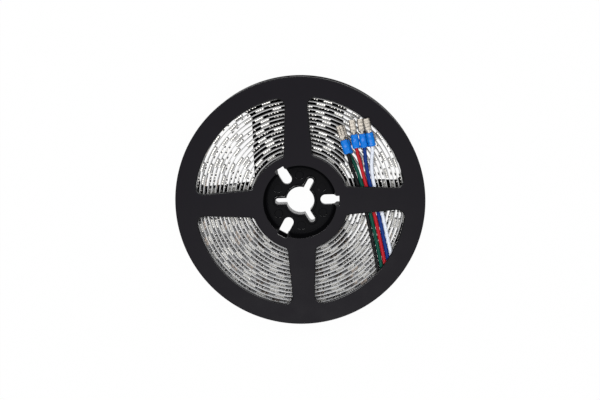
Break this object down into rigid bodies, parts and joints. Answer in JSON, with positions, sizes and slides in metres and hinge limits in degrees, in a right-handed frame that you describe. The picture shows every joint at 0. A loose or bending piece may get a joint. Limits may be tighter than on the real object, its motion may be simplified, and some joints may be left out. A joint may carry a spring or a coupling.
{
  "type": "led strip light reel",
  "caption": "Flexible LED light strip wound on a two-part plastic reel, with coloured leads ending in insulated crimp terminals.",
  "frame": {"origin": "centre of the back flange's outer face, on the reel's axis", "axes": "+Z along the reel's axis, out of the front flange with the leads; +Y along the upper front spoke; +X towards the windows with the leads"},
  "size_m": [0.135, 0.135, 0.0189],
  "materials": {
    "reel_plastic": "moulded, satin",
    "strip": "white board with LED packages",
    "joint_cover": "shrunk sleeve, satin",
    "sleeve": "translucent vinyl",
    "terminal": "tinned brass",
    "lead_black": "soft insulation, satin",
    "lead_green": "soft insulation, satin",
    "lead_red": "soft insulation, satin",
    "lead_blue": "soft insulation, satin",
    "lead_white": "soft insulation, satin"
  },
  "bodies": {
    "root": {"reel_back_half": "reel_plastic", "reel_front_half": "reel_plastic", "led_strip": "strip", "joint_cover": "joint_cover", "lead_black": "lead_black", "sleeve_black": "sleeve", "terminal_black": "terminal", "lead_green": "lead_green", "sleeve_green": "sleeve", "terminal_green": "terminal", "lead_red": "lead_red", "sleeve_red": "sleeve", "terminal_red": "terminal", "lead_blue": "lead_blue", "sleeve_blue": "sleeve", "terminal_blue": "terminal", "lead_white": "lead_white", "sleeve_white": "sleeve", "terminal_white": "terminal"}
  },
  "joints": []
}
